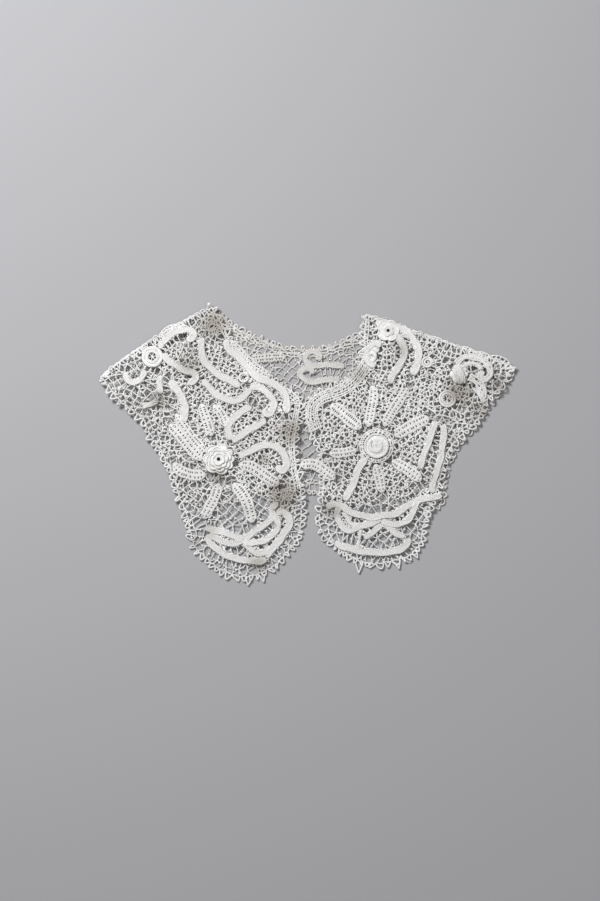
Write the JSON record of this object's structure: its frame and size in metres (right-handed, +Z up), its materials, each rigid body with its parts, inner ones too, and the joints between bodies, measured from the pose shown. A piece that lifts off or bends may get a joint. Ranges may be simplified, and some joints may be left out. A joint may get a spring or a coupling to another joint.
{
  "type": "lace collar",
  "caption": "Crocheted cotton lace collar with raised roses, leaves and corded scrolls on a net ground, folded at the shoulders and laid flat.",
  "frame": {"origin": "bottom centre of the bounding box, on the surface the folded collar lies on", "axes": "+X from the wearer's left front lobe's side to the other as the collar is looked at from above, +Y towards the back of the neck, +Z up from the surface"},
  "size_m": [0.3612, 0.239, 0.0104],
  "materials": {
    "cotton_lace": "matt off-white crochet cotton"
  },
  "bodies": {
    "root": {"back": "cotton_lace", "bud_right": "cotton_lace", "cord_left_01": "cotton_lace", "cord_left_02": "cotton_lace", "cord_left_03": "cotton_lace", "cord_left_04": "cotton_lace", "cord_left_05": "cotton_lace", "cord_left_06": "cotton_lace", "cord_left_07": "cotton_lace", "cord_left_08": "cotton_lace", "cord_left_09": "cotton_lace", "cord_left_10": "cotton_lace", "cord_left_11": "cotton_lace", "cord_left_12": "cotton_lace", "cord_left_13": "cotton_lace", "cord_left_14": "cotton_lace", "cord_left_15": "cotton_lace", "cord_right_01": "cotton_lace", "cord_right_02": "cotton_lace", "cord_right_03": "cotton_lace", "cord_right_04": "cotton_lace", "cord_right_05": "cotton_lace", "cord_right_06": "cotton_lace", "cord_right_07": "cotton_lace", "cord_right_08": "cotton_lace", "cord_right_09": "cotton_lace", "cord_right_10": "cotton_lace", "edging_back_hem": "cotton_lace", "edging_back_neck": "cotton_lace", "edging_front_left": "cotton_lace", "edging_front_right": "cotton_lace", "flower_right": "cotton_lace", "front_left": "cotton_lace", "front_right": "cotton_lace", "leaf_back": "cotton_lace", "leaf_left_1": "cotton_lace", "leaf_left_2": "cotton_lace", "leaf_left_3": "cotton_lace", "leaf_left_4": "cotton_lace", "leaf_left_5": "cotton_lace", "leaf_left_6": "cotton_lace", "leaf_right_1": "cotton_lace", "leaf_right_2": "cotton_lace", "leaf_right_3": "cotton_lace", "leaf_right_4": "cotton_lace", "leaf_right_5": "cotton_lace", "leaf_right_6": "cotton_lace", "leaf_right_7": "cotton_lace", "leaf_right_8": "cotton_lace", "leaf_right_9": "cotton_lace", "medallion_right": "cotton_lace", "ring_left": "cotton_lace", "ring_right": "cotton_lace", "rose_left": "cotton_lace", "rose_right": "cotton_lace", "rosette_right": "cotton_lace", "scroll_back_1": "cotton_lace", "scroll_back_2": "cotton_lace", "wheel_left": "cotton_lace"}
  },
  "joints": []
}
